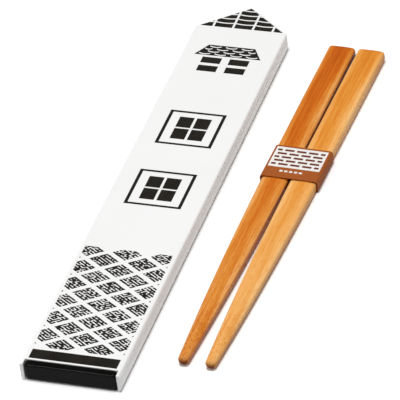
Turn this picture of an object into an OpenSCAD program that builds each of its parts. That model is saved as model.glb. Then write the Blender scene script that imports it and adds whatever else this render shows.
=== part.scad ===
// Portable chopstick case: a flat sleeve with a gable end, a tray that slides out of it by a pull block,
// and the pair of chopsticks, lying beside the case in a paper band.
// Millimetres. The origin is the centre of the case's underside, +Y runs to the gable and +Z is up.

/* [Chopsticks] */
// Length of a chopstick
stick_l = 180; // [150:1:210]
// Width of the thick end
stick_w = 10.3; // [7:0.1:11]
// Thickness of the thick end
stick_t = 4.2; // [4:0.1:7]
// Width and thickness of the tip
tip_d = 3.6; // [2.8:0.1:4]
// Radius of the long edges at the thick end
stick_r = 1.1; // [1.1:0.1:2]
// Radius of the edge round the thick end's face
butt_r = 0.8; // [0.4:0.1:1]
// Length of the rounded end of the tip
tip_round = 1.3; // [0.6:0.1:1.3]
// How late the stick tapers: 1 is a straight taper
taper_power = 3.2; // [1:0.1:4]
// Gap between the two thick ends
stick_gap = 1.1; // [0.4:0.1:3]
// Angle by which each stick turns in towards the other, in degrees
stick_toe = 0.25; // [0:0.05:0.4]

/* [Paper band] */
// Distance from the thick ends to the band
band_from = 62.5; // [30:0.5:90]
// Length of the band along the sticks
band_l = 18; // [10:0.5:30]
// Thickness of the paper
band_t = 0.3; // [0.2:0.05:0.5]
// Room between the paper and the sticks
band_clear = 0.15; // [0.1:0.05:0.3]

/* [Place of the pair] */
// Distance from the side of the case to the middle of the pair, at its thick ends
pair_out = 27; // [24:0.2:60]
// How far the thick ends lie before the start of the gable
pair_back = 0.6; // [0:0.1:20]
// Turn of the pair against the case, in degrees
pair_turn = 1.8; // [0:0.1:3]

/* [Sleeve] */
// Width of the case
case_w = 36; // [32:0.5:45]
// Length of the gable beyond the straight sides
gable_l = 14.5; // [8:0.1:18]
// Thickness of the side walls
wall = 1.2; // [0.9:0.05:1.6]
// Thickness of the top plate
top_t = 0.9; // [0.8:0.05:1.6]
// Thickness of the bottom plate
base_t = 0.9; // [0.8:0.05:1.6]
// Radius of the upright corners at the gable
corner_r = 2.2; // [2:0.1:3]
// Radius of the edge round the top
edge_r = 0.9; // [0.4:0.05:1.1]
// Radius of the edge round the underside
foot_r = 1.7; // [0.5:0.1:1.9]
// Height of the seam between the two shells
seam_z = 4.3; // [3.5:0.1:5]
// Height of the lip that joins the shells
lip_h = 0.8; // [0.5:0.1:1.2]
// Thickness of the lip
lip_t = 0.45; // [0.3:0.05:0.6]
// Room round the lip
lip_clear = 0.05; // [0.03:0.01:0.1]

/* [Tray] */
// Thickness of the tray's floor
floor_t = 0.6; // [0.5:0.05:1.5]
// Thickness of the tray's long walls and far wall
tray_wall = 1; // [0.8:0.05:1.6]
// Thickness of the wall that the pull block is fixed to
tray_end = 1.6; // [1.2:0.1:3]
// Radius of the upright corners in the trough
trough_r = 2; // [0.5:0.1:4]
// Spare length in the trough
spare_l = 5.5; // [2:0.5:15]
// Spare height over the sticks
spare_h = 0.3; // [0.2:0.1:2]
// Room between the tray and each side wall
side_clear = 0.25; // [0.15:0.05:0.5]
// Room between the tray and the top plate
roof_clear = 0.25; // [0.15:0.05:0.6]
// Free length between the tray and the start of the gable
tail_l = 6.3; // [1:0.1:12]

/* [Pull block] */
// Depth of the block, front to back
block_d = 2.5; // [2.2:0.1:8]
// Radius of the block's corners, seen from the front
block_corner_r = 1.3; // [1.2:0.1:2]
// Radius of the edge round its front face
block_edge_r = 0.9; // [0.4:0.05:1.1]
// Room between the block and each side wall
block_clear = 0.2; // [0.15:0.05:0.4]
// How far the block stays inside the top and underside of the case
block_drop = 0.15; // [0.1:0.05:0.5]
// Gap between the block and the plates behind it
stop_gap = 0.25; // [0.15:0.05:0.5]
// Width of the tongue that holds the block in the tray
tongue_w = 14; // [8:0.5:20]
// Height of the tongue
tongue_h = 3; // [2:0.1:4]
// Room round the tongue
tongue_clear = 0.05; // [0.03:0.01:0.1]

/* [Hidden] */

// Steps in a quarter of a round edge, and along a stick
arc_steps = 6;
stick_steps = 12;
// How far a cut runs past the face that it opens
over = 1;
// How far the form of the shells runs past the near end, where it is cut off flat
run_out = 4;
// Angles of a quarter and a half turn
quarter_turn = 90;
half_turn = 180;

// The tray is as large as the sticks need, and the case is as large as the tray needs
trough_l = stick_l + spare_l;
trough_h = stick_t + spare_h;
tray_l = tray_end + trough_l + tray_wall;
tray_h = floor_t + trough_h;
side_l = block_d + tray_l + tail_l;
case_l = side_l + gable_l;
case_h = base_t + tray_h + roof_clear + top_t;

// Widths from the outside in
inner_w = case_w - 2 * wall;
block_w = inner_w - 2 * block_clear;
tray_w = inner_w - 2 * side_clear;
trough_w = tray_w - 2 * tray_wall;

// Heights and places along the case
block_h = case_h - 2 * block_drop;
front_y = -case_l / 2;
block_back_y = front_y + block_d;
plate_y = block_back_y + stop_gap;
eave_y = front_y + side_l;
tongue_z = base_t + tray_h / 2;

// The slope of the gable: the direction square to its right side, and that direction's angle
gable_n = [gable_l, case_w / 2] / norm([gable_l, case_w / 2]);
gable_a = atan2(gable_n[1], gable_n[0]);

// Start and end angles of the arcs at the corners of a house plan and of a box
house_arcs = [[half_turn, 3 * quarter_turn], [3 * quarter_turn, 2 * half_turn], [0, gable_a],
              [gable_a, half_turn - gable_a], [half_turn - gable_a, half_turn]];
box_arcs = [for (i = [2:5]) [i, i + 1] * quarter_turn];

// Corners of the house plan, moved in by a distance, with its near end at near_y
function eave_in(inset) = eave_y - inset * (1 - gable_n[0]) / gable_n[1];
function apex_in(inset) = eave_y + gable_l - inset / gable_n[1];
function house(inset, near_y) =
    let (half = case_w / 2 - inset)
    [[-half, near_y], [half, near_y], [half, eave_in(inset)], [0, apex_in(inset)], [-half, eave_in(inset)]];

// Corners of a box about the origin
function box(w, h) = [[-w / 2, -h / 2], [w / 2, -h / 2], [w / 2, h / 2], [-w / 2, h / 2]];

// An outline with an arc of radius r about each corner point
function rounded(corners, arcs, r) =
    [for (i = [0:len(corners) - 1]) for (j = [0:arc_steps])
        let (a = arcs[i][0] + (arcs[i][1] - arcs[i][0]) * j / arc_steps)
        corners[i] + r * [cos(a), sin(a)]];

// The house plan moved in by inset, with round corners and its near end at near_y
function house_outline(inset, near_y) =
    rounded(house(corner_r, near_y + corner_r - inset), house_arcs, corner_r - inset);

// A rounded box outline of outer size w by h
function rounded_box(w, h, r) = rounded(box(w - 2 * r, h - 2 * r), box_arcs, r);

// An outline laid flat at a height
function at_height(outline, z) = [for (p = outline) [p[0], p[1], z]];

// Width, thickness and edge radius of a stick at a share s of its length from the thick end
function taper(thick_end, tip, s) = tip + (thick_end - tip) * (1 - pow(s, taper_power));
function stick_width(s) = taper(stick_w, tip_d, s);
function stick_thick(s) = taper(stick_t, tip_d, s);
function stick_edge(s) = taper(stick_r, tip_d / 2, s);

// The section of a stick at a distance from its thick end, made smaller by inset at the two ends
function stick_section(d, inset) =
    let (s = d / stick_l, w = stick_width(s), t = stick_thick(s), r = stick_edge(s),
         outline = rounded(box(w - 2 * r, t - 2 * r), box_arcs, r - inset))
    [for (p = outline) [p[0], -d, band_t + t / 2 + p[1]]];

// A solid through a row of outlines that have as many points each
module loft(rings) {
    n = len(rings[0]);
    last = len(rings) - 1;
    walls = [for (i = [0:last - 1]) for (j = [0:n - 1])
        let (k = (j + 1) % n, low = i * n, high = low + n)
        each [[low + j, high + k, low + k], [low + j, high + j, high + k]]];
    first_end = [for (j = [0:n - 1]) j];
    last_end = [for (j = [n - 1:-1:0]) last * n + j];
    polyhedron([for (ring = rings) each ring], concat(walls, [first_end, last_end]));
}

// A slab of height h on an outline, with its upper edge rounded
module rounded_slab(corners, arcs, r, h, upper_r) {
    foot = at_height(rounded(corners, arcs, r), 0);
    edge = [for (i = [0:arc_steps])
        let (a = quarter_turn * i / arc_steps)
        at_height(rounded(corners, arcs, r - upper_r * (1 - cos(a))), h - upper_r * (1 - sin(a)))];
    loft(concat([foot], edge));
}

// The case's outer form on one side of the seam
module house_slab(h, upper_r) {
    rounded_slab(house(corner_r, front_y + corner_r - run_out), house_arcs, corner_r, h, upper_r);
}

// What comes out of both shells: the run past the near end, the space for the tray, and the opening for the
// pull block
module sleeve_hollow() {
    translate([-case_w, front_y - 2 * run_out, -over])
        cube([2 * case_w, 2 * run_out, case_h + 2 * over]);
    translate([0, 0, base_t])
        linear_extrude(case_h - base_t - top_t)
            polygon(house_outline(wall, front_y - over));
    translate([-inner_w / 2, front_y - over, -over])
        cube([inner_w, over + plate_y - front_y, case_h + 2 * over]);
}

// The lip on the lower shell, or with room the rebate for it in the upper shell
module seam_lip(room) {
    translate([0, 0, seam_z - over * sign(room)])
        linear_extrude(lip_h + room + over * sign(room))
            difference() {
                polygon(house_outline(wall - lip_t - room, plate_y - room));
                polygon(house_outline(wall, plate_y - over));
            }
}

module upper_shell() {
    color("white")
        difference() {
            translate([0, 0, seam_z])
                house_slab(case_h - seam_z, edge_r);
            sleeve_hollow();
            seam_lip(lip_clear);
        }
}

module lower_shell() {
    color("whitesmoke") {
        difference() {
            translate([0, 0, seam_z])
                mirror([0, 0, 1])
                    house_slab(seam_z, foot_r);
            sleeve_hollow();
        }
        seam_lip(0);
    }
}

module tray() {
    slot_w = tongue_w + 2 * tongue_clear;
    slot_h = tongue_h + 2 * tongue_clear;
    color("dimgray")
        difference() {
            translate([-tray_w / 2, block_back_y, base_t])
                cube([tray_w, tray_l, tray_h]);
            translate([0, block_back_y + tray_end + trough_l / 2, base_t + floor_t])
                linear_extrude(trough_h + over)
                    polygon(rounded_box(trough_w, trough_l, trough_r));
            translate([-slot_w / 2, block_back_y - over, tongue_z - slot_h / 2])
                cube([slot_w, tray_end + 2 * over, slot_h]);
        }
}

module pull_block() {
    color("black") {
        translate([0, block_back_y, case_h / 2])
            rotate([quarter_turn, 0, 0])
                rounded_slab(box(block_w - 2 * block_corner_r, block_h - 2 * block_corner_r), box_arcs,
                             block_corner_r, block_d, block_edge_r);
        translate([-tongue_w / 2, block_back_y - over, tongue_z - tongue_h / 2])
            cube([tongue_w, over + tray_end, tongue_h]);
    }
}

// The place of the pair: its thick ends are about level with the start of the gable
module pair_place() {
    translate([case_w / 2 + pair_out, eave_y - pair_back, 0])
        rotate([0, 0, -pair_turn])
            children();
}

// One stick of the pair, on the left (side -1) or on the right (side 1)
module chopstick(side) {
    quarter = [for (i = [0:arc_steps]) quarter_turn * i / arc_steps];
    butt = [for (a = quarter) stick_section(butt_r * (1 - cos(a)), butt_r * (1 - sin(a)))];
    shaft_l = stick_l - butt_r - tip_round;
    shaft = [for (i = [1:stick_steps - 1]) stick_section(butt_r + shaft_l * i / stick_steps, 0)];
    tip = [for (a = quarter) stick_section(stick_l - tip_round * (1 - sin(a)), tip_round * (1 - cos(a)))];
    pair_place()
        translate([side * (stick_w + stick_gap) / 2, 0, 0])
            rotate([0, 0, -side * stick_toe])
                loft(concat(butt, shaft, tip));
}

module chopstick_left() {
    color("peru")
        chopstick(-1);
}

module chopstick_right() {
    color("sandybrown")
        chopstick(1);
}

module paper_band() {
    start = band_from / stick_l;
    reach = (stick_w + stick_gap) / 2 - band_from * sin(stick_toe) + stick_width(start) / 2;
    hole_w = 2 * (reach + band_clear);
    hole_h = stick_thick(start) + band_clear;
    hole_r = stick_edge(start) - band_clear;
    color("sienna")
        pair_place()
            translate([0, -band_from, band_t + hole_h / 2])
                rotate([quarter_turn, 0, 0])
                    linear_extrude(band_l)
                        difference() {
                            polygon(rounded_box(hole_w + 2 * band_t, hole_h + 2 * band_t, hole_r + band_t));
                            polygon(rounded_box(hole_w, hole_h, hole_r));
                        }
}

upper_shell();
lower_shell();
tray();
pull_block();
chopstick_left();
chopstick_right();
paper_band();
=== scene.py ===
"""Looks of a portable chopstick case: a white sleeve with a printed top, the tray and pull block that
slide out of it, and the pair of chopsticks beside it in a paper band. Metres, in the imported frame."""
import bisect
import math
import random

import bmesh
import bpy
from mathutils import Matrix, Vector


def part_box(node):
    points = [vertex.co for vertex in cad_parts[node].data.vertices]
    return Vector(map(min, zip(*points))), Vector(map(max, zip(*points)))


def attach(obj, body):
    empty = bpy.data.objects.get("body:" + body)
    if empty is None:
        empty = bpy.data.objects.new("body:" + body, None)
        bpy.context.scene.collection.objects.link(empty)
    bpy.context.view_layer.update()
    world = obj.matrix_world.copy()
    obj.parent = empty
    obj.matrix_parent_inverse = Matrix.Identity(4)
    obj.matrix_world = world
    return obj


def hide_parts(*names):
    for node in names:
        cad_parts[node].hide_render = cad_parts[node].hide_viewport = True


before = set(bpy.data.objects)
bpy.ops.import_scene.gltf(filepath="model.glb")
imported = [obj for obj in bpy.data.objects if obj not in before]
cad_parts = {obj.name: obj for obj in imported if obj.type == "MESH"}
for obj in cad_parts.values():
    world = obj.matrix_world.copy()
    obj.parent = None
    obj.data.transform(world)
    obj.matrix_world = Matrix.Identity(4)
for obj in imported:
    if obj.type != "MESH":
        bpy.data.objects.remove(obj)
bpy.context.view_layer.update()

MM = 0.001
UP = Vector((0, 0, 1))
DOWN = Vector((0, 0, -1))
FORWARD = Vector((0, -1, 0))

# How close two places are one, the fineness of a cut, and how far a cutter runs past what it cuts
NEAR = 1e-6
FINEST = 1e-7
PAST = 1.0 * MM

# Sizes of the sleeve that its box doesn't give
GABLE_L = 14.5 * MM
WALL = 1.2 * MM
TOP_T = 0.9 * MM
GABLE_R = 2.2 * MM
EDGE_R = 0.9 * MM
FOOT_R = 1.7 * MM
SEAM_BEVEL = 0.14 * MM
LIP_H = 0.8 * MM
LIP_T = 0.45 * MM
LIP_CLEAR = 0.05 * MM
STOP_GAP = 0.25 * MM
PLATE_BEVEL = 0.2 * MM

# Sizes of the tray and the pull block
TRAY_WALL = 1.0 * MM
TRAY_END = 1.6 * MM
TRAY_FLOOR = 0.6 * MM
TROUGH_R = 2.0 * MM
TROUGH_FILLET = 0.7 * MM
RIM_BEVEL = 0.2 * MM
BLOCK_CORNER_R = 1.3 * MM
BLOCK_EDGE_R = 0.9 * MM
TONGUE_W = 14.0 * MM
TONGUE_H = 3.0 * MM
TONGUE_CLEAR = 0.05 * MM

# Sizes of the chopsticks, and the place of the pair
STICK_L = 180.0 * MM
STICK_W = 10.3 * MM
STICK_T = 4.2 * MM
TIP_D = 3.6 * MM
STICK_R = 1.1 * MM
BUTT_R = 0.8 * MM
BUTT_SPREAD = 3.0
TIP_ROUND = 1.3 * MM
CROWN = 0.25 * MM
TAPER_POWER = 3.2
STICK_GAP = 1.1 * MM
STICK_TOE = math.radians(0.25)
PAIR_OUT = 27.0 * MM
PAIR_BACK = 0.6 * MM
PAIR_TURN = math.radians(1.8)
STICK_STEPS = 40
STICK_COLUMNS = (-0.75, -0.5, -0.25, 0.0, 0.25, 0.5, 0.75)

# What the sticks' finish follows: heights and shares of the painted shade on the sides and between the
# sticks, the scored stretch, and the dark end grain with painted shade low on the tip's end
SIDE_SHADE_FROM = 3.2 * MM
SIDE_SHADE_TO = 1.6 * MM
SIDE_SHADE_SHARE = 0.35
GAP_SHADE_FULL = 0.6
GAP_SHADE_FADE = (0.42, 0.6)
GAP_SHADE_DARK = 0.9
SCORE_L = 46.0 * MM
SCORE_TILT = math.radians(38)
BUTT_DARK = (0.9 * MM, 0.2 * MM)
TIP_DARK = (1.0 * MM, 0.4 * MM)
TIP_SHADE_Z = (0.8 * TIP_D, 0.35 * TIP_D)

# Sizes of the paper band
BAND_FROM = 62.5 * MM
BAND_L = 18.0 * MM
BAND_T = 0.3 * MM
BAND_CLEAR = 0.15 * MM

# The print on the band: a framed panel of bricks, and a row of dashes below it
PANEL_MARGIN = 0.9 * MM
PANEL_FRAME = 0.7 * MM
PANEL_BRICK = (4.5 * MM, 2.0 * MM)
PANEL_COLUMNS = 4
PANEL_ROWS = 5
PANEL_JOINT = 0.95 * MM
DASH_HALF = 4.6 * MM
DASH_DROP = 1.6 * MM
DASH_H = 0.9 * MM
DASH_COUNT = 5
DASH_SHARE = 0.65
PRINT_DEPTH = 0.2 * MM

# The print on the top: a film of ink, placed along the case from the near edge of the top plate
INK_T = 0.03 * MM
INK_SINK = 0.01 * MM
BASE_LINE_HALF = 15.9 * MM
BASE_LINE_Y = (0.8 * MM, 5.45 * MM)
TILE_PITCH_X = 7.05 * MM
TILE_PITCH_Y = 9.32 * MM
TILE_FIRST_Y = 13.05 * MM
TILE_JOINT = 1.75 * MM
TILE_REACH = 3
TILE_ROWS = range(-1, 6)
TILE_CELLS = 11
STROKE_TO_GAP = 1.85
STROKE_WANDER = 0.15 * MM
BLOT_SHARE = 0.14
LATTICE_HALF = 16.25 * MM
LATTICE_Y = (6.8 * MM, 61.5 * MM)
LATTICE_SEED = 11
TILE_SEEDS = 10000
WINDOW_Y = (96.7 * MM, 132.05 * MM)
WINDOW_HALF_X = 10.7 * MM
WINDOW_HALF_Y = 9.95 * MM
WINDOW_SIDE_LINE = 1.25 * MM
WINDOW_END_LINE = 1.0 * MM
PANE_W = 5.6 * MM
PANE_L = 6.1 * MM
MUNTIN_X = 1.0 * MM
MUNTIN_Y = 0.75 * MM
BAR_X = (1.55 * MM, 9.15 * MM)
BAR_Y = ((166.55 * MM, 170.05 * MM), (171.6 * MM, 175.15 * MM))
DORMER_Y = (176.3 * MM, 182.7 * MM)
DORMER_HALF = (12.9 * MM, 9.0 * MM)
SCALE_ROWS = 4
SCALE_REACH = 3
SCALE_FROM = 0.75 * MM
SCALE_MARGIN = 0.5 * MM
SCALE_PITCH_X = 6.15 * MM
SCALE_PITCH_Y = 1.5 * MM
SCALE_W = 4.4 * MM
SCALE_LEAST_W = 1.6 * MM
SCALE_LINE = 0.55 * MM
SCALE_SAG = 0.55 * MM
ROOF_INSET = 1.1 * MM
ROOF_REACH = 2
COURSES = 4
COURSE_FROM = 0.15 * MM
COURSE = 2.85 * MM
COURSE_LINE = 0.62 * MM
COURSE_SAG = 0.4 * MM
ROOF_PITCH_X = 7.75 * MM
ROOF_JOINT_X = 0.5 * MM
ROOF_JOINT = 0.85 * MM
SAG_STEPS = 8

# Counts of steps in a round edge and in a small bevel
ROUND = 6
FINE = 2

# The least cosine of a face that looks along a direction, and the angles up to which faces are flat or smooth
LOOKS_ALONG = 0.9
FLAT_ANGLE = math.radians(1)
SMOOTH_ANGLE = math.radians(40)

# Places worked out from the frame
shell_low, shell_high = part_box("upper_shell")
tray_low, tray_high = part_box("tray")
block_low, block_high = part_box("pull_block")
case_half = shell_high.x
case_h = shell_high.z
seam_z = shell_low.z
front_y = shell_low.y
eave_y = -front_y - GABLE_L
block_back_y = tray_low.y
plate_y = block_back_y + STOP_GAP
cavity_low = tray_low.z
cavity_high = case_h - TOP_T
inner_half = case_half - WALL
tongue_z = (tray_low.z + tray_high.z) / 2
slope = Vector((GABLE_L, case_half)).normalized()
print_top = case_h + INK_T


# Making and shaping meshes

def select_only(piece):
    """The piece is the only one selected, and the active one."""
    bpy.ops.object.select_all(action="DESELECT")
    bpy.context.view_layer.objects.active = piece
    piece.select_set(True)


def apply_place(piece):
    """The piece's place, turn and scale go into its mesh."""
    select_only(piece)
    bpy.ops.object.transform_apply(location=True, rotation=True, scale=True)


def placed(name, low, high):
    """The primitive that was just added, named and stretched between two corners."""
    piece = bpy.context.object
    piece.name = name
    piece.data.name = name
    piece.location = [(a + b) / 2 for a, b in zip(low, high)]
    piece.scale = [b - a if b > a else 1 for a, b in zip(low, high)]
    apply_place(piece)
    return piece


def start_box(name, low, high):
    """A cube primitive between two corners."""
    bpy.ops.object.select_all(action="DESELECT")
    bpy.ops.mesh.primitive_cube_add(size=1)
    return placed(name, low, high)


def start_sheet(name, low, high, z, columns=1, rows=1):
    """A flat grid primitive between two corners at a height, with a count of faces each way."""
    bpy.ops.object.select_all(action="DESELECT")
    bpy.ops.mesh.primitive_grid_add(x_subdivisions=columns, y_subdivisions=rows, size=1)
    return placed(name, (low[0], low[1], z), (high[0], high[1], z))


def pick(piece, kind, test):
    """Edit mode, with the vertices, edges or faces selected that a test holds for."""
    select_only(piece)
    bpy.ops.object.mode_set(mode="EDIT")
    bpy.ops.mesh.select_mode(type=kind)
    bpy.ops.mesh.select_all(action="DESELECT")
    mesh = bmesh.from_edit_mesh(piece.data)
    items = {"VERT": mesh.verts, "EDGE": mesh.edges, "FACE": mesh.faces}[kind]
    for item in items:
        if test(item):
            item.select_set(True)
    mesh.select_flush_mode()
    bmesh.update_edit_mesh(piece.data)


def everything(item):
    """A test that picks all."""
    return True


def leave_edit():
    """Back to object mode."""
    bpy.ops.object.mode_set(mode="OBJECT")


def is_upright(edge):
    """An edge along Z."""
    run = edge.verts[1].co - edge.verts[0].co
    return abs(run.x) < NEAR and abs(run.y) < NEAR


def is_lengthwise(edge):
    """An edge with one end nearer than the other."""
    return abs(edge.verts[0].co.y - edge.verts[1].co.y) > NEAR


def is_rim(edge, direction):
    """An edge between a face that looks along a direction and one that doesn't."""
    looks = [face.normal.dot(direction) > LOOKS_ALONG for face in edge.link_faces]
    return any(looks) and not all(looks)


def round_edges(piece, test, radius, segments=ROUND):
    """A round bevel on the edges that a test picks."""
    pick(piece, "EDGE", test)
    bpy.ops.mesh.bevel(offset=radius, offset_type="OFFSET", segments=segments, affect="EDGES")
    leave_edit()


def modify(piece, kind, **settings):
    """A modifier, set and applied."""
    select_only(piece)
    bpy.ops.object.modifier_add(type=kind)
    modifier = piece.modifiers[-1]
    for name, value in settings.items():
        setattr(modifier, name, value)
    bpy.ops.object.modifier_apply(modifier=modifier.name)


def carve(piece, tool, operation="DIFFERENCE"):
    """Cuts a tool out of a piece, or joins it on, and takes the tool away."""
    modify(piece, "BOOLEAN", operation=operation, solver="EXACT", object=tool)
    bpy.data.objects.remove(tool, do_unlink=True)


def cut_across(piece, place, direction, clear=False):
    """A cut right through a piece. It leaves new edges, or clears what lies on the direction's side."""
    pick(piece, "VERT", everything)
    bpy.ops.mesh.bisect(plane_co=place, plane_no=direction, clear_outer=clear, threshold=FINEST)
    leave_edit()


def clear_slivers(piece):
    """Takes out the hairline faces that cuts along one surface can leave."""
    pick(piece, "VERT", everything)
    bpy.ops.mesh.remove_doubles(threshold=NEAR)
    bpy.ops.mesh.select_all(action="SELECT")
    bpy.ops.mesh.dissolve_degenerate(threshold=NEAR)
    leave_edit()


def smooth(piece):
    """Smooth shading on round edges, with flat faces kept flat."""
    select_only(piece)
    bpy.ops.object.shade_smooth_by_angle(angle=SMOOTH_ANGLE)
    modify(piece, "WEIGHTED_NORMAL", keep_sharp=True)


def join(name, pieces):
    """Several meshes as one piece."""
    select_only(pieces[0])
    for piece in pieces:
        piece.select_set(True)
    bpy.ops.object.join()
    pieces[0].name = name
    pieces[0].data.name = name
    return pieces[0]


def dress(piece, body, slot, material, *nodes):
    """The piece's finish, the body that it rides on and the nodes that it stands for."""
    piece.data.materials.clear()
    piece.data.materials.append(material)
    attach(piece, body)
    if nodes:
        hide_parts(*nodes)


# Camera

CAMERA_AZIMUTH = math.radians(22.56)
CAMERA_ELEVATION = math.radians(38.0)
CAMERA_ROLL = math.radians(-7.8)
CAMERA_DISTANCE = 1.38
CAMERA_LENS = 348.0
CAMERA_TARGET = Vector((0.01203, -0.00035, -0.0009))


def make_camera():
    """The photograph's view, with the horizon turned by the roll."""
    turn_cos, turn_sin = math.cos(CAMERA_AZIMUTH), math.sin(CAMERA_AZIMUTH)
    level = math.cos(CAMERA_ELEVATION)
    back = Vector((turn_sin * level, -turn_cos * level, math.sin(CAMERA_ELEVATION)))
    flat_right = Vector((turn_cos, turn_sin, 0))
    flat_up = back.cross(flat_right)
    right = math.cos(CAMERA_ROLL) * flat_right + math.sin(CAMERA_ROLL) * flat_up
    up = back.cross(right)
    bpy.ops.object.camera_add()
    camera = bpy.context.object
    camera.data.lens = CAMERA_LENS
    camera.matrix_world = (Matrix.Translation(CAMERA_TARGET + CAMERA_DISTANCE * back)
                           @ Matrix((right, up, back)).transposed().to_4x4())
    bpy.context.scene.camera = camera


make_camera()


# Places of the pair and sizes of its band

def pair_origin():
    """The middle of the pair at its thick ends."""
    return Vector((case_half + PAIR_OUT, eave_y - PAIR_BACK, 0))


def stick_place(side):
    """Turn and origin of the left stick (side -1) or the right stick (side 1)."""
    across = Vector((side * (STICK_W + STICK_GAP) / 2, 0, 0))
    return -PAIR_TURN - side * STICK_TOE, pair_origin() + Matrix.Rotation(-PAIR_TURN, 3, "Z") @ across


def taper(thick_end, tip, share):
    """A size of a stick at a share of its length from the thick end."""
    return tip + (thick_end - tip) * (1 - share ** TAPER_POWER)


def band_hole():
    """Width, height and corner radius of the space inside the band, where it is widest."""
    share = BAND_FROM / STICK_L
    reach = ((STICK_W + STICK_GAP) / 2 - BAND_FROM * math.sin(STICK_TOE)
             + taper(STICK_W, TIP_D, share) / 2)
    return (2 * (reach + BAND_CLEAR), taper(STICK_T, TIP_D, share) + BAND_CLEAR,
            taper(STICK_R, TIP_D / 2, share) - BAND_CLEAR)


def band_height():
    """Height of the band's upper face."""
    return band_hole()[1] + 2 * BAND_T


# Finishes

# The range that most of a noise texture's values lie in, and the sockets of a Mix node that hold colours
NOISE_RANGE = (0.3, 0.7)
MIX_COLOUR_INPUTS = (0, 6, 7)
MIX_COLOUR_OUTPUT = 2


def new_finish(name):
    """A node material and its shader."""
    material = bpy.data.materials.new(name)
    material.use_nodes = True
    return material, material.node_tree, material.node_tree.nodes["Principled BSDF"]


def feed(tree, socket, value):
    """Gives an input a value, or the output that feeds it."""
    if isinstance(value, bpy.types.NodeSocket):
        tree.links.new(value, socket)
    else:
        socket.default_value = value


def add_node(tree, kind, links=None, **settings):
    """A node with its settings. Links give an input's value, or the output that feeds it."""
    node = tree.nodes.new("ShaderNode" + kind)
    for name, value in settings.items():
        setattr(node, name, value)
    for name, value in (links or {}).items():
        feed(tree, node.inputs[name], value)
    return node


def place_on(tree, turn=0.0, origin=(0, 0, 0), stretch=(1, 1, 1)):
    """Object coordinates, moved to an origin and turned about Z, as a point that textures read."""
    coords = add_node(tree, "TexCoord")
    moved = add_node(tree, "Mapping", {"Vector": coords.outputs["Object"],
                                       "Location": origin, "Rotation": (0, 0, turn)}, vector_type="TEXTURE")
    scaled = add_node(tree, "Mapping", {"Vector": moved.outputs["Vector"], "Scale": stretch})
    return scaled.outputs["Vector"]


def noise(tree, point, scale, detail=2.0, roughness=0.5):
    """The value of a noise texture."""
    texture = add_node(tree, "TexNoise", {"Vector": point, "Scale": scale, "Detail": detail,
                                          "Roughness": roughness})
    return texture.outputs["Fac"]


def spread(tree, value, low, high, out_low, out_high):
    """A value taken from one range to another."""
    mapped = add_node(tree, "MapRange", {"Value": value, "From Min": low, "From Max": high,
                                         "To Min": out_low, "To Max": out_high})
    return mapped.outputs["Result"]


def shades(tree, value, *stops):
    """A value as a colour, through stops of place and colour."""
    ramp = add_node(tree, "ValToRGB", {"Fac": value})
    elements = ramp.color_ramp.elements
    while len(elements) < len(stops):
        elements.new(1.0)
    for element, (place, colour) in zip(elements, stops):
        element.position = place
        element.color = (*colour, 1)
    return ramp.outputs["Color"]


def math_node(tree, operation, first, second):
    """A sum, product or other rule of two values."""
    node = tree.nodes.new("ShaderNodeMath")
    node.operation = operation
    for socket, value in zip(node.inputs, (first, second)):
        feed(tree, socket, value)
    return node.outputs["Value"]


def blend_colours(tree, share, first, second):
    """Two colours mixed by a share."""
    mix = tree.nodes.new("ShaderNodeMix")
    mix.data_type = "RGBA"
    for place, value in zip(MIX_COLOUR_INPUTS, (share, first, second)):
        feed(tree, mix.inputs[place], value)
    return mix.outputs[MIX_COLOUR_OUTPUT]


def vary(tree, value, low, high):
    """A noise value spread between two limits."""
    return spread(tree, value, *NOISE_RANGE, low, high)


def mottle(tree, value, first, second):
    """A noise value as a colour between two."""
    return shades(tree, value, *zip(NOISE_RANGE, (first, second)))


def bump(tree, shader, height, depth):
    """Relief of a depth from a height value."""
    node = add_node(tree, "Bump", {"Height": height, "Distance": depth, "Strength": 1.0})
    tree.links.new(node.outputs["Normal"], shader.inputs["Normal"])


# Tones of the two woods, from deep to pale, and of their end grain, which also colours the painted shade
# between the sticks and low on the tip's end
TONE_STOPS = (0.0, 0.38, 0.74, 1.0)
RED_TONES = ((0.48, 0.080, 0.003), (0.63, 0.150, 0.008), (0.74, 0.262, 0.036), (0.84, 0.400, 0.120))
LIGHT_TONES = ((0.68, 0.190, 0.012), (0.80, 0.310, 0.044), (0.89, 0.430, 0.118), (0.94, 0.530, 0.200))
RED_END_AND_SHADE = (0.13, 0.022, 0.004)
LIGHT_END_AND_SHADE = (0.17, 0.032, 0.006)


def white_plastic():
    """Satin gloss white, with the faint flow marks and fine skin of a moulding."""
    material, tree, shader = new_finish("satin white plastic")
    point = place_on(tree)
    flow = noise(tree, point, 45.0, 3.0)
    tint = mottle(tree, flow, (0.925, 0.925, 0.918), (0.945, 0.945, 0.940))
    tree.links.new(tint, shader.inputs["Base Color"])
    skin = noise(tree, point, 2600.0, 2.0)
    tree.links.new(vary(tree, flow, 0.14, 0.20), shader.inputs["Roughness"])
    shader.inputs["Specular IOR Level"].default_value = 0.45
    bump(tree, shader, skin, 0.004 * MM)
    return material


def black_gloss():
    """Polished black, with fine rubbed marks along the block."""
    material, tree, shader = new_finish("polished black plastic")
    point = place_on(tree, stretch=(0.12, 1, 1))
    rubbed = noise(tree, point, 3200.0, 3.0)
    cloud = noise(tree, place_on(tree), 160.0, 2.0)
    tint = mottle(tree, cloud, (0.0022, 0.0022, 0.0019), (0.0042, 0.0041, 0.0036))
    tree.links.new(tint, shader.inputs["Base Color"])
    tree.links.new(vary(tree, rubbed, 0.05, 0.11), shader.inputs["Roughness"])
    shader.inputs["Specular IOR Level"].default_value = 0.08
    bump(tree, shader, rubbed, 0.0006 * MM)
    return material


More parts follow.
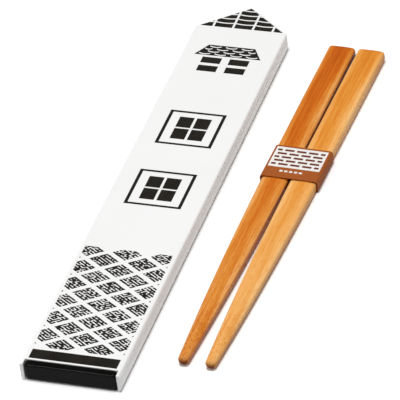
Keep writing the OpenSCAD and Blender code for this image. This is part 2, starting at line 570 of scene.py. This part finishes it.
def black_tray():
    """Matt black with the fine grain of a sparked mould."""
    material, tree, shader = new_finish("matt black plastic")
    point = place_on(tree)
    grain = noise(tree, point, 3500.0, 3.0, 0.6)
    tint = mottle(tree, grain, (0.016, 0.016, 0.016), (0.030, 0.030, 0.029))
    tree.links.new(tint, shader.inputs["Base Color"])
    tree.links.new(vary(tree, grain, 0.48, 0.62), shader.inputs["Roughness"])
    bump(tree, shader, grain, 0.02 * MM)
    return material


def black_ink():
    """Screen ink: warm black, a little uneven, with a low gloss."""
    material, tree, shader = new_finish("warm black ink")
    point = place_on(tree)
    cloud = noise(tree, point, 220.0, 4.0, 0.6)
    tint = mottle(tree, cloud, (0.0085, 0.0066, 0.0042), (0.0150, 0.0120, 0.0080))
    tree.links.new(tint, shader.inputs["Base Color"])
    tree.links.new(vary(tree, cloud, 0.34, 0.46), shader.inputs["Roughness"])
    shader.inputs["Specular IOR Level"].default_value = 0.18
    bump(tree, shader, noise(tree, point, 4200.0), 0.002 * MM)
    return material


def varnished_wood(name, side, tones, end_grain_and_shade):
    """Straight grain along one stick under a thin varnish. Its tones run from deep, along the middle of the
    thick end, to pale towards the tip, with a painted highlight that pales the long edges. Painted shade
    darkens the lower sides, most on the inner side between the sticks towards their thick end, and the tip's
    end face lower down. The last stretch to the tip is scored, and the end grain at the butt and the tip is
    dark."""
    material, tree, shader = new_finish(name)
    turn, origin = stick_place(side)

    def grain_noise(stretch, detail, roughness, tilt=0.0):
        return noise(tree, place_on(tree, turn + tilt, origin, stretch), 1.0, detail, roughness)

    # Tone along the stick, and a painted highlight that makes it paler towards its long edges
    place = add_node(tree, "SeparateXYZ", {"Vector": place_on(tree, turn, origin)})
    along, height = place.outputs["Y"], place.outputs["Z"]
    share = spread(tree, along, 0.0, -STICK_L, 0.0, 1.0)
    thinned = math_node(tree, "POWER", share, TAPER_POWER)
    half = spread(tree, thinned, 0.0, 1.0, STICK_W / 2, TIP_D / 2)
    across = math_node(tree, "DIVIDE", place.outputs["X"], half)
    drift = vary(tree, grain_noise((70, 14, 70), 2.0, 0.5), -0.3, 0.3)
    off_middle = math_node(tree, "ADD", across, drift)
    edge = math_node(tree, "MULTIPLY", off_middle, off_middle)
    # Painted highlight: paler long edges, standing in for the sheen on their rounding
    painted_edge_highlight = math_node(tree, "MULTIPLY", edge, spread(tree, share, 0.0, 1.0, 0.8, 0.1))
    tone_and_painted_light = math_node(tree, "ADD", painted_edge_highlight, spread(tree, share, 0.0, 1.0, 0.05, 0.84))

    # Painted shade on the lower sides, deepest on the inner side between the sticks towards their thick end
    painted_shade_height = spread(tree, height, BAND_T + SIDE_SHADE_FROM, BAND_T + SIDE_SHADE_TO, 0.0, 1.0)
    inward = spread(tree, across, 0.0, -GAP_SHADE_FULL * side, 0.0, 1.0)
    inner_side_shade = math_node(tree, "MULTIPLY", painted_shade_height, inward)
    # Painted shade: lower sides darker, darker still on the inner side in the gap
    painted_gap_shade = math_node(tree, "MULTIPLY", inner_side_shade, spread(tree, share, *GAP_SHADE_FADE, 1.0, 0.0))
    painted_side_shade = math_node(tree, "MAXIMUM", painted_gap_shade, math_node(tree, "MULTIPLY", painted_shade_height, SIDE_SHADE_SHARE))
    tone_and_painted_light = math_node(tree, "SUBTRACT", tone_and_painted_light, painted_side_shade)

    # Grain: broad bands, threads, fibres and dark flecks
    bands = vary(tree, grain_noise((520, 11, 520), 2.0, 0.55), -0.13, 0.13)
    threads = vary(tree, grain_noise((1250, 26, 1250), 2.0, 0.6), -0.17, 0.17)
    fibres = grain_noise((2400, 85, 2400), 3.0, 0.65)
    flecks = grain_noise((1900, 330, 1900), 1.0, 0.5)
    streaks = math_node(tree, "ADD", bands, vary(tree, fibres, -0.14, 0.14))
    streaks = math_node(tree, "ADD", streaks, threads)
    grain = shades(tree, math_node(tree, "ADD", tone_and_painted_light, streaks), *zip(TONE_STOPS, tones))
    deep = (*tones[0], 1)
    fleck_share = spread(tree, flecks, 0.56, 0.72, 0.0, 0.36)
    grained = blend_colours(tree, fleck_share, grain, deep)

    # Crossed scores towards the tip
    scores = [grain_noise((2600, 420, 1500), 1.0, 0.5, tilt) for tilt in (SCORE_TILT, -SCORE_TILT)]
    scored = math_node(tree, "MULTIPLY", math_node(tree, "MAXIMUM", *scores),
                       spread(tree, along, -STICK_L + SCORE_L, -STICK_L + SCORE_L / 2, 0.0, 1.0))
    score_share = spread(tree, scored, 0.55, 0.68, 0.0, 0.6)
    marked = blend_colours(tree, score_share, grained, deep)

    # Dark end grain at the butt and the tip, painted shade on the tip's end face lower down, and painted
    # shade between the sticks towards their thick end
    from_butt = spread(tree, along, -BUTT_DARK[0], -BUTT_DARK[1], 0.0, 0.6)
    to_tip = spread(tree, along, -STICK_L + TIP_DARK[0], -STICK_L + TIP_DARK[1], 0.0, 1.0)
    # Painted shade: the tip's end face darker lower down, on top of its dark end grain
    tip_shade_height = spread(tree, height, BAND_T + TIP_SHADE_Z[0], BAND_T + TIP_SHADE_Z[1], 0.2, 1.0)
    ends = math_node(tree, "MAXIMUM", from_butt, math_node(tree, "MULTIPLY", to_tip, tip_shade_height))
    # Painted shade between the sticks, in the end grain's dark colour
    ends = math_node(tree, "MAXIMUM", ends, math_node(tree, "MULTIPLY", painted_gap_shade, GAP_SHADE_DARK))
    tree.links.new(blend_colours(tree, ends, marked, (*end_grain_and_shade, 1)), shader.inputs["Base Color"])

    # Varnish
    tree.links.new(vary(tree, fibres, 0.30, 0.44), shader.inputs["Roughness"])
    shader.inputs["Specular IOR Level"].default_value = 0.1
    relief = math_node(tree, "ADD", math_node(tree, "MULTIPLY", scored, -3.2), fibres)
    bump(tree, shader, relief, 0.02 * MM)
    return material


def printed_paper():
    """Brown uncoated paper, with dark bricks in a white panel and a row of dashes printed on its top."""
    material, tree, shader = new_finish("brown printed paper")
    turn, origin = -PAIR_TURN, pair_origin()
    point = place_on(tree, turn, origin)
    fibre = noise(tree, place_on(tree, turn, origin, (900, 2200, 900)), 1.0, 4.0, 0.65)
    brown = mottle(tree, fibre, (0.315, 0.070, 0.0060), (0.430, 0.108, 0.0120))
    place = add_node(tree, "SeparateXYZ", {"Vector": point})
    x, y, z = (place.outputs[axis] for axis in "XYZ")
    on_top = math_node(tree, "GREATER_THAN", z, band_height() - PRINT_DEPTH)

    def inside(half_x, low_y, high_y):
        """One within a box about the middle of the band, zero outside."""
        in_x = math_node(tree, "LESS_THAN", math_node(tree, "ABSOLUTE", x, 0.0), half_x)
        in_y = math_node(tree, "MULTIPLY", math_node(tree, "GREATER_THAN", y, low_y),
                         math_node(tree, "LESS_THAN", y, high_y))
        return math_node(tree, "MULTIPLY", in_x, in_y)

    top = -BAND_FROM - PANEL_MARGIN
    field_half = PANEL_COLUMNS * PANEL_BRICK[0] / 2
    field_low = top - PANEL_FRAME - PANEL_ROWS * PANEL_BRICK[1]
    panel_half, panel_low = field_half + PANEL_FRAME, field_low - PANEL_FRAME
    panel = inside(panel_half, panel_low, top)
    field = inside(field_half, field_low, top - PANEL_FRAME)
    corner = add_node(tree, "CombineXYZ", {"X": math_node(tree, "ADD", x, field_half),
                                           "Y": math_node(tree, "SUBTRACT", y, field_low)})
    bricks = add_node(tree, "TexBrick", {"Vector": corner.outputs["Vector"], "Scale": 1.0,
                                         "Mortar Size": PANEL_JOINT / 2, "Mortar Smooth": 0.0,
                                         "Brick Width": PANEL_BRICK[0], "Row Height": PANEL_BRICK[1]})
    brick = math_node(tree, "MULTIPLY", field, math_node(tree, "SUBTRACT", 1.0, bricks.outputs["Fac"]))
    dash_row = inside(DASH_HALF, panel_low - DASH_DROP - DASH_H, panel_low - DASH_DROP)
    dash_step = math_node(tree, "DIVIDE", math_node(tree, "ADD", x, DASH_HALF), 2 * DASH_HALF / DASH_COUNT)
    dashes = math_node(tree, "LESS_THAN", math_node(tree, "FRACT", dash_step, 0.0), DASH_SHARE)
    bright = math_node(tree, "MAXIMUM", panel, math_node(tree, "MULTIPLY", dash_row, dashes))
    white = mottle(tree, fibre, (0.80, 0.78, 0.74), (0.93, 0.92, 0.89))
    dark = mottle(tree, fibre, (0.110, 0.014, 0.0020), (0.180, 0.028, 0.0040))
    printed = blend_colours(tree, math_node(tree, "MULTIPLY", bright, on_top), brown, white)
    printed = blend_colours(tree, math_node(tree, "MULTIPLY", brick, on_top), printed, dark)
    tree.links.new(printed, shader.inputs["Base Color"])
    tree.links.new(vary(tree, fibre, 0.62, 0.78), shader.inputs["Roughness"])
    shader.inputs["Specular IOR Level"].default_value = 0.3
    bump(tree, shader, fibre, 0.012 * MM)
    return material


# Sleeve

def round_uprights(block, y, offset):
    """Rounds the upright edges at a place along the case, from an offset on each side of them."""
    round_edges(block, lambda edge: is_upright(edge) and abs(edge.verts[0].co.y - y) < NEAR, offset)


def house_block(name, inset, near_y, low_z, high_z):
    """A box with a gable end: the case's plan, moved in by an inset, round at its eaves and its point."""
    half = case_half - inset
    eave = eave_y - inset * (1 - slope.x) / slope.y
    apex = eave_y + GABLE_L - inset / slope.y
    block = start_box(name, (-half, near_y, low_z), (half, eave, high_z))
    pick(block, "FACE", lambda face: face.normal.y > LOOKS_ALONG)
    bpy.ops.mesh.extrude_region_move(TRANSFORM_OT_translate={"value": (0, apex - eave, 0)})
    bpy.ops.transform.resize(value=(0, 1, 1), center_override=(0, apex, (low_z + high_z) / 2))
    bpy.ops.mesh.select_all(action="SELECT")
    bpy.ops.mesh.remove_doubles(threshold=NEAR)
    bpy.ops.mesh.dissolve_limited(angle_limit=FLAT_ANGLE)
    bpy.ops.mesh.select_all(action="SELECT")
    bpy.ops.mesh.normals_make_consistent(inside=False)
    leave_edit()
    turn = math.atan2(slope.y, slope.x)
    radius = GABLE_R - inset
    round_uprights(block, eave, radius * math.tan(turn / 2))
    round_uprights(block, apex, radius * math.tan(math.pi / 2 - turn))
    return block


def round_rim(blank, direction, radius):
    """Rounds the edge round the top or the underside of a shell, all but its flat near end."""
    def is_open_rim(edge):
        return is_rim(edge, direction) and any(v.co.y > front_y + NEAR for v in edge.verts)

    round_edges(blank, is_open_rim, radius, ROUND if radius > SEAM_BEVEL else FINE)


def shell_blank(name, low_z, high_z, low_r, high_r):
    """The outer form of one shell, flat at its near end, with round upper and lower edges."""
    blank = house_block(name, 0, front_y, low_z, high_z)
    round_rim(blank, UP, high_r)
    round_rim(blank, DOWN, low_r)
    return blank


def hollow(shell):
    """Takes the space for the tray and the opening for the pull block out of a shell."""
    carve(shell, house_block("cavity", WALL, front_y - PAST, cavity_low, cavity_high))
    carve(shell, start_box("opening", (-inner_half, front_y - PAST, -PAST),
                           (inner_half, plate_y, case_h + PAST)))


def seam_lip(name, room):
    """The ring that joins the shells inside the wall, with room round it for the rebate."""
    low = seam_z - (PAST if room else PAST / 2)
    ring = house_block(name, WALL - LIP_T - room, plate_y - room, low, seam_z + LIP_H + room)
    carve(ring, house_block("lip_hole", WALL, plate_y - PAST, low - PAST, case_h))
    return ring


def soften_plate(shell, z, direction):
    """A small bevel on the near edge of a plate, where the pull block meets it."""
    round_edges(shell, lambda edge: is_rim(edge, direction)
                and all(abs(v.co.y - plate_y) < NEAR and abs(v.co.z - z) < NEAR for v in edge.verts),
                PLATE_BEVEL, FINE)


def finish_shell(shell, plate_z, direction, finish, node):
    """The last steps of a shell that is hollow and has its lip or rebate."""
    soften_plate(shell, plate_z, direction)
    clear_slivers(shell)
    smooth(shell)
    dress(shell, "sleeve", "white_shell", finish, node)


def make_shells(finish):
    """The upper and lower shells, which meet at the seam."""
    upper = shell_blank("moulded_upper_shell", seam_z, case_h, SEAM_BEVEL, EDGE_R)
    hollow(upper)
    carve(upper, seam_lip("rebate", LIP_CLEAR))
    finish_shell(upper, case_h, UP, finish, "upper_shell")
    lower = shell_blank("moulded_lower_shell", 0, seam_z, FOOT_R, SEAM_BEVEL)
    hollow(lower)
    carve(lower, seam_lip("lip", 0), "UNION")
    finish_shell(lower, 0, DOWN, finish, "lower_shell")


# Tray and pull block

def make_tray(finish):
    """The trough that the sticks lie in, with a slot in its near wall for the block's tongue."""
    tray = start_box("moulded_tray", tray_low, tray_high)
    hole = start_box("trough", (tray_low.x + TRAY_WALL, tray_low.y + TRAY_END, tray_low.z + TRAY_FLOOR),
                     (tray_high.x - TRAY_WALL, tray_high.y - TRAY_WALL, tray_high.z + PAST))
    round_edges(hole, is_upright, TROUGH_R)
    round_edges(hole, lambda edge: is_rim(edge, DOWN), TROUGH_FILLET)
    carve(tray, hole)
    slot_x = TONGUE_W / 2 + TONGUE_CLEAR
    slot_z = TONGUE_H / 2 + TONGUE_CLEAR
    carve(tray, start_box("slot", (-slot_x, tray_low.y - PAST, tongue_z - slot_z),
                          (slot_x, tray_low.y + TRAY_END + PAST, tongue_z + slot_z)))
    round_edges(tray, lambda edge: is_rim(edge, UP)
                and all(abs(v.co.z - tray_high.z) < NEAR for v in edge.verts), RIM_BEVEL, FINE)
    smooth(tray)
    dress(tray, "drawer", "black_tray", finish, "tray")


def make_pull_block(finish):
    """The block that closes the near end, round at its corners and its front edge, with its tongue."""
    block = start_box("polished_pull_block", block_low, (block_high.x, block_back_y, block_high.z))
    round_edges(block, is_lengthwise, BLOCK_CORNER_R)
    round_edges(block, lambda edge: is_rim(edge, FORWARD), BLOCK_EDGE_R)
    tongue = start_box("tongue", (-TONGUE_W / 2, block_back_y - PAST, tongue_z - TONGUE_H / 2),
                       (TONGUE_W / 2, block_back_y + TRAY_END, tongue_z + TONGUE_H / 2))
    carve(block, tongue, "UNION")
    smooth(block)
    dress(block, "drawer", "black_gloss", finish, "pull_block")


# Chopsticks and paper band

def lay(piece, turn, origin):
    """Puts a piece that was modelled at the origin in its place, with the place in its mesh."""
    piece.location = origin
    piece.rotation_euler = (0, 0, turn)
    apply_place(piece)


def stick_stations():
    """Places along a stick, with how far its section draws in there across and in height."""
    quarter = [math.pi / 2 * i / ROUND for i in range(ROUND + 1)]
    butt = [(BUTT_R * (1 - math.cos(a)), BUTT_R * (1 - math.sin(a))) for a in quarter]
    shaft_l = STICK_L - BUTT_R - TIP_ROUND
    shaft = [(BUTT_R + shaft_l * i / STICK_STEPS, 0) for i in range(1, STICK_STEPS)]
    tip = [(STICK_L - TIP_ROUND * (1 - math.sin(a)), TIP_ROUND * (1 - math.cos(a))) for a in quarter]
    return ([(distance, BUTT_SPREAD * inset, inset) for distance, inset in butt]
            + [(distance, inset, inset) for distance, inset in shaft + tip])


def crown_stick(stick, middle):
    """Domes the upper face: its columns drop by the square of their place, its edges by the whole crown."""
    flat_half = STICK_W / 2 - STICK_R
    for share in STICK_COLUMNS:
        cut_across(stick, (share * flat_half, 0, 0), (1, 0, 0))
        pick(stick, "VERT", lambda vert: vert.co.z > middle and abs(vert.co.x - share * flat_half) < NEAR)
        bpy.ops.transform.translate(value=(0, 0, -CROWN * share * share))
        leave_edit()
    pick(stick, "VERT", lambda vert: vert.co.z > middle and abs(vert.co.x) > flat_half - NEAR)
    bpy.ops.transform.translate(value=(0, 0, -CROWN))
    leave_edit()


def make_chopstick(name, side, node, slot, finish):
    """A stick cut into stations, each sized by the taper and turned rounder towards the tip."""
    stick = start_box(name, (-STICK_W / 2, -STICK_L, BAND_T), (STICK_W / 2, 0, BAND_T + STICK_T))
    round_edges(stick, is_lengthwise, STICK_R)
    middle = BAND_T + STICK_T / 2
    crown_stick(stick, middle)
    stations = stick_stations()
    for distance, _, _ in stations[1:-1]:
        cut_across(stick, (0, -distance, 0), (0, 1, 0))
    for distance, inset_x, inset_z in stations:
        share = distance / STICK_L
        width = taper(STICK_W, TIP_D, share)
        thick = taper(STICK_T, TIP_D, share)
        pick(stick, "VERT", lambda vert: abs(vert.co.y + distance) < NEAR)
        centre = (0, -distance, middle)
        bpy.ops.transform.tosphere(value=share ** TAPER_POWER, center_override=centre)
        ring = [v.co.copy() for v in bmesh.from_edit_mesh(stick.data).verts if v.select]
        size_x = max(v.x for v in ring) - min(v.x for v in ring)
        size_z = max(v.z for v in ring) - min(v.z for v in ring)
        bpy.ops.transform.resize(value=((width - 2 * inset_x) / size_x, 1, (thick - 2 * inset_z) / size_z),
                                 center_override=centre)
        bpy.ops.transform.translate(value=(0, 0, BAND_T + thick / 2 - middle))
        leave_edit()
    lay(stick, *stick_place(side))
    smooth(stick)
    dress(stick, "chopsticks", slot, finish, node)


def make_band(finish):
    """A sleeve of paper round the two sticks."""
    hole_w, _, hole_r = band_hole()
    half = hole_w / 2 + BAND_T
    band = start_box("folded_paper_band", (-half, -BAND_FROM - BAND_L, 0), (half, -BAND_FROM, band_height()))
    round_edges(band, is_lengthwise, hole_r + BAND_T)
    pick(band, "FACE", lambda face: abs(face.normal.y) > LOOKS_ALONG)
    bpy.ops.mesh.delete(type="FACE")
    leave_edit()
    modify(band, "SOLIDIFY", thickness=BAND_T, offset=-1.0, use_even_offset=True)
    lay(band, -PAIR_TURN, pair_origin())
    smooth(band)
    dress(band, "band", "brown_paper", finish, "paper_band")


# Print on the top

def thicken(piece):
    """Gives a flat outline the thickness of the ink, downwards and a little into the top."""
    modify(piece, "SOLIDIFY", thickness=INK_T + INK_SINK, offset=-1.0)


def ink(piece, finish):
    """Makes a flat outline a print that rides with the sleeve."""
    thicken(piece)
    dress(piece, "sleeve", "black_gloss", finish)


def make_base_line(finish):
    """The solid line above the near edge."""
    low_y, high_y = (plate_y + y for y in BASE_LINE_Y)
    line = start_sheet("base_line_print", (-BASE_LINE_HALF, low_y), (BASE_LINE_HALF, high_y), print_top)
    ink(line, finish)


def stroke_lines():
    """Places of the lines between strokes and gaps along a side of a tile, from 0 to 1, strokes first."""
    widths = [STROKE_TO_GAP if i % 2 == 0 else 1.0 for i in range(TILE_CELLS)]
    return [sum(widths[:i]) / sum(widths) for i in range(TILE_CELLS + 1)]


def tile_sheet():
    """A square sheet from 0 to 1, cut into strokes and gaps both ways, which every tile starts from."""
    sheet = start_sheet("tile_sheet", (0, 0), (1, 1), print_top)
    for place in stroke_lines()[1:-1]:
        cut_across(sheet, (place, 0, 0), (1, 0, 0))
        cut_across(sheet, (0, place, 0), (0, 1, 0))
    return sheet


def stroke_cells(draw):
    """Cells of a tile that hold ink: a post on every other cell, with a stroke to one or two neighbours and
    now and then a blot beside it."""
    ways = ((0, 1), (0, -1), (0, 1), (0, -1), (1, 0), (-1, 0))
    counts = draw.choice(((1, 1, 2), (1, 1, 2), (1, 2, 2)))
    cells = set()
    for i in range(0, TILE_CELLS, 2):
        for j in range(0, TILE_CELLS, 2):
            cells.add((i, j))
            for step in draw.sample(ways, draw.choice(counts)):
                cells.add((i + step[0], j + step[1]))
            if draw.random() < BLOT_SHARE:
                cells.add((i + 1, j + 1))
    return cells


def lattice_tile(sheet, centre, draw):
    """One diamond tile: a copy of the sheet with its bare cells taken out, its strokes a little uneven."""
    half = Vector((TILE_PITCH_X, TILE_PITCH_Y / 2))
    half *= 1 - TILE_JOINT * half.length / (2 * half.x * half.y)
    select_only(sheet)
    bpy.ops.object.duplicate()
    tile = bpy.context.object
    lines = stroke_lines()
    inked = stroke_cells(draw)

    def is_bare(face):
        place = face.calc_center_median()
        cell = tuple(bisect.bisect(lines, along) - 1 for along in (place.x, place.y))
        return cell not in inked

    pick(tile, "FACE", is_bare)
    bpy.ops.mesh.delete(type="FACE")
    leave_edit()
    tile.data.transform(Matrix(((half.x, -half.x, 0, centre[0]), (half.y, half.y, 0, centre[1] - half.y),
                                (0, 0, 1, 0), (0, 0, 0, 1))))
    pick(tile, "VERT", everything)
    bpy.ops.transform.vertex_random(offset=STROKE_WANDER, seed=draw.randrange(TILE_SEEDS))
    bpy.ops.transform.resize(value=(1, 1, 0), center_override=(0, 0, print_top))
    leave_edit()
    return tile


def make_lattice(finish):
    """Diamond tiles between white diagonal joints, cut off at the panel's edges."""
    draw = random.Random(LATTICE_SEED)
    low_y, high_y = (plate_y + y for y in LATTICE_Y)
    sheet = tile_sheet()
    tiles = []
    for column in range(-TILE_REACH, TILE_REACH + 1):
        for row in TILE_ROWS:
            y = plate_y + TILE_FIRST_Y + TILE_PITCH_Y * (row + (column % 2) / 2)
            if low_y < y < high_y:
                tiles.append(lattice_tile(sheet, (column * TILE_PITCH_X, y), draw))
    bpy.data.objects.remove(sheet, do_unlink=True)
    lattice = join("wall_lattice_print", tiles)
    for side in (1, -1):
        cut_across(lattice, (side * LATTICE_HALF, 0, 0), (side, 0, 0), clear=True)
    for y, side in ((low_y, -1), (high_y, 1)):
        cut_across(lattice, (0, y, 0), (0, side, 0), clear=True)
    ink(lattice, finish)


def make_window(name, middle_y, finish):
    """A framed window with four panes."""
    low_y, high_y = middle_y - WINDOW_HALF_Y, middle_y + WINDOW_HALF_Y
    line = start_sheet(name, (-WINDOW_HALF_X, low_y), (WINDOW_HALF_X, high_y), print_top)
    pick(line, "FACE", everything)
    bpy.ops.mesh.inset(thickness=WINDOW_SIDE_LINE)
    open_half = WINDOW_HALF_Y - WINDOW_SIDE_LINE
    bpy.ops.transform.resize(value=(1, (WINDOW_HALF_Y - WINDOW_END_LINE) / open_half, 1),
                             center_override=(0, middle_y, print_top))
    bpy.ops.mesh.delete(type="FACE")
    leave_edit()
    panes = [line]
    for side_x in (-1, 1):
        for side_y in (-1, 1):
            x = side_x * (PANE_W + MUNTIN_X) / 2
            y = middle_y + side_y * (PANE_L + MUNTIN_Y) / 2
            panes.append(start_sheet("pane", (x - PANE_W / 2, y - PANE_L / 2),
                                     (x + PANE_W / 2, y + PANE_L / 2), print_top))
    ink(join(name, panes), finish)


def sagging_strips(name, places, line, sag):
    """Cutters for white lines that hang a little in the middle, one at each place."""
    strips = []
    for x, y, width in places:
        strip = start_sheet(name, (x - width / 2, y - line / 2), (x + width / 2, y + line / 2),
                            print_top - PAST, SAG_STEPS)
        for step in range(1, SAG_STEPS):
            share = 2 * step / SAG_STEPS - 1
            pick(strip, "VERT", lambda vert: abs(vert.co.x - x - share * width / 2) < NEAR)
            bpy.ops.transform.translate(value=(0, -sag * (1 - share * share), 0))
            leave_edit()
        strips.append(strip)
    cutter = join(name, strips)
    modify(cutter, "SOLIDIFY", thickness=2 * PAST, offset=1.0)
    return cutter


def make_dormer(finish):
    """A small roof of scale tiles, with four bars under it."""
    low_y, high_y = (plate_y + y for y in DORMER_Y)
    foot, ridge = DORMER_HALF
    roof = start_sheet("dormer_print", (-foot, low_y), (foot, high_y), print_top)
    pick(roof, "VERT", lambda vert: abs(vert.co.y - high_y) < NEAR)
    bpy.ops.transform.resize(value=(ridge / foot, 1, 1), center_override=(0, high_y, print_top))
    leave_edit()
    places = []
    for row in range(SCALE_ROWS):
        y = high_y - SCALE_FROM - row * SCALE_PITCH_Y
        half = foot + (ridge - foot) * (y - low_y) / (high_y - low_y) - SCALE_MARGIN
        for column in range(-SCALE_REACH, SCALE_REACH + 1):
            x = SCALE_PITCH_X * (column + (row % 2) / 2)
            low_x, high_x = max(x - SCALE_W / 2, -half), min(x + SCALE_W / 2, half)
            if high_x - low_x > SCALE_LEAST_W:
                places.append(((low_x + high_x) / 2, y, high_x - low_x))
    thicken(roof)
    carve(roof, sagging_strips("scales", places, SCALE_LINE, SCALE_SAG))
    bars = []
    for side in (-1, 1):
        for bar_low, bar_high in BAR_Y:
            low_x, high_x = sorted(side * x for x in BAR_X)
            bars.append(start_sheet("bar", (low_x, plate_y + bar_low), (high_x, plate_y + bar_high),
                                    print_top))
    bar_group = join("bars", bars)
    thicken(bar_group)
    dress(join("dormer_print", [roof, bar_group]), "sleeve", "black_gloss", finish)


def make_roof(finish):
    """Courses of roof tiles in the gable, with white joints along and across."""
    peak_y = eave_y + GABLE_L - ROOF_INSET / slope.y
    half = case_half - ROOF_INSET / slope.x
    roof = start_sheet("roof_tile_print", (-half, eave_y), (half, peak_y), print_top)
    pick(roof, "VERT", lambda vert: abs(vert.co.y - peak_y) < NEAR)
    bpy.ops.mesh.merge(type="CENTER")
    leave_edit()
    thicken(roof)
    for course in range(1, COURSES + 1):
        y = eave_y + COURSE_FROM + course * COURSE
        places = [(ROOF_JOINT_X + ROOF_PITCH_X * column, y, ROOF_PITCH_X - 2 * NEAR)
                  for column in range(-ROOF_REACH, ROOF_REACH + 1)]
        carve(roof, sagging_strips("course", places, COURSE_LINE, COURSE_SAG))
    for column in range(-ROOF_REACH, ROOF_REACH):
        x = ROOF_JOINT_X + ROOF_PITCH_X * (column + 0.5)
        carve(roof, start_box("joint", (x - ROOF_JOINT / 2, eave_y - PAST, case_h - PAST),
                              (x + ROOF_JOINT / 2, peak_y + PAST, case_h + PAST)))
    dress(roof, "sleeve", "black_gloss", finish)


# Floor and light

FLOOR_SIZE = 8.0
FLOOR_DROP = 0.02 * MM
FLOOR_LIGHT = (0.75, 0.75, 0.75, 1)
FLOOR_SEEN = (1.08, 1.08, 1.08, 1)
FLOOR_FAR = (0.4, 1.0)
WHITE = (1, 1, 1, 1)

# The room: its light at the horizon and overhead, and what gloss shows, white up to a height and then dimmer
ROOM_LIGHT = ((0.05, 0.05, 0.05), (0.41, 0.41, 0.41))
SWEEP_HEIGHT = (0.08, 0.5)
SWEEP_TONES = ((1, 1, 1), (0.2, 0.2, 0.2))


def seen_directly(tree):
    """One for rays that come straight from the camera, or by way of gloss or glass."""
    path = tree.nodes.new("ShaderNodeLightPath")
    shown = math_node(tree, "MAXIMUM", path.outputs["Is Camera Ray"], path.outputs["Is Glossy Ray"])
    return math_node(tree, "MAXIMUM", shown, path.outputs["Is Transmission Ray"])


def white_floor():
    """White that keeps the shadow near the object and reads plain white far from it."""
    material = bpy.data.materials.new("white floor")
    material.use_nodes = True
    tree = material.node_tree
    tree.nodes.clear()
    seen = seen_directly(tree)
    diffuse = add_node(tree, "BsdfDiffuse", {"Color": blend_colours(tree, seen, FLOOR_LIGHT, FLOOR_SEEN)})
    plain = add_node(tree, "Emission", {"Color": WHITE, "Strength": 1.0})
    material.cycles.emission_sampling = "NONE"
    coords = add_node(tree, "TexCoord")
    distance = add_node(tree, "VectorMath", {"Vector": coords.outputs["Object"]}, operation="LENGTH")
    far = spread(tree, distance.outputs["Value"], *FLOOR_FAR, 0.0, 1.0)
    surface = add_node(tree, "MixShader", {"Fac": math_node(tree, "MULTIPLY", far, seen)})
    tree.links.new(diffuse.outputs[0], surface.inputs[1])
    tree.links.new(plain.outputs[0], surface.inputs[2])
    output = tree.nodes.new("ShaderNodeOutputMaterial")
    tree.links.new(surface.outputs[0], output.inputs["Surface"])
    return material


def make_floor():
    """A wide floor just under the object."""
    bpy.ops.object.select_all(action="DESELECT")
    bpy.ops.mesh.primitive_plane_add(size=FLOOR_SIZE, location=(0, 0, -FLOOR_DROP))
    floor = bpy.context.object
    floor.name = "floor"
    apply_place(floor)
    floor.data.materials.append(white_floor())


def make_world():
    """A soft room: brighter overhead than at the sides as light, white where it is seen, and in gloss a white
    sweep under a dim ceiling."""
    world = bpy.context.scene.world or bpy.data.worlds.new("soft room")
    bpy.context.scene.world = world
    world.use_nodes = True
    tree = world.node_tree
    tree.nodes.clear()
    coords = add_node(tree, "TexCoord")
    height = add_node(tree, "SeparateXYZ", {"Vector": coords.outputs["Generated"]}).outputs["Z"]
    light = shades(tree, height, *zip((0.0, 1.0), ROOM_LIGHT))
    sweep = shades(tree, height, *zip(SWEEP_HEIGHT, SWEEP_TONES))
    path = tree.nodes.new("ShaderNodeLightPath")
    shown = blend_colours(tree, path.outputs["Is Camera Ray"], sweep, WHITE)
    colour = blend_colours(tree, seen_directly(tree), light, shown)
    background = add_node(tree, "Background", {"Color": colour, "Strength": 1.0})
    output = tree.nodes.new("ShaderNodeOutputWorld")
    tree.links.new(background.outputs[0], output.inputs["Surface"])


def make_lamp(name, place, size, power):
    """A square soft box that points at the middle of the case."""
    bpy.ops.object.light_add(type="AREA", location=place)
    lamp = bpy.context.object
    lamp.name = name
    lamp.data.size = size
    lamp.data.energy = power
    lamp.rotation_euler = (-Vector(place)).to_track_quat("-Z", "Y").to_euler()


# The whole scene

bpy.context.scene.view_settings.view_transform = "Standard"
white = white_plastic()
ink_black = black_ink()
make_shells(white)
make_tray(black_tray())
make_pull_block(black_gloss())
make_chopstick("left_chopstick", -1, "chopstick_left", "wood_red",
               varnished_wood("red varnished wood", -1, RED_TONES, RED_END_AND_SHADE))
make_chopstick("right_chopstick", 1, "chopstick_right", "wood_light",
               varnished_wood("light varnished wood", 1, LIGHT_TONES, LIGHT_END_AND_SHADE))
make_band(printed_paper())
make_base_line(ink_black)
make_lattice(ink_black)
for window_name, window_y in zip(("lower_window_print", "upper_window_print"), WINDOW_Y):
    make_window(window_name, plate_y + window_y, ink_black)
make_dormer(ink_black)
make_roof(ink_black)
make_floor()
make_world()
make_lamp("overhead_soft_box", place=(0, -0.08, 2.5), size=0.75, power=42.8)
make_lamp("front_soft_box", place=(-0.5, -0.95, 1.15), size=0.16, power=2.2)
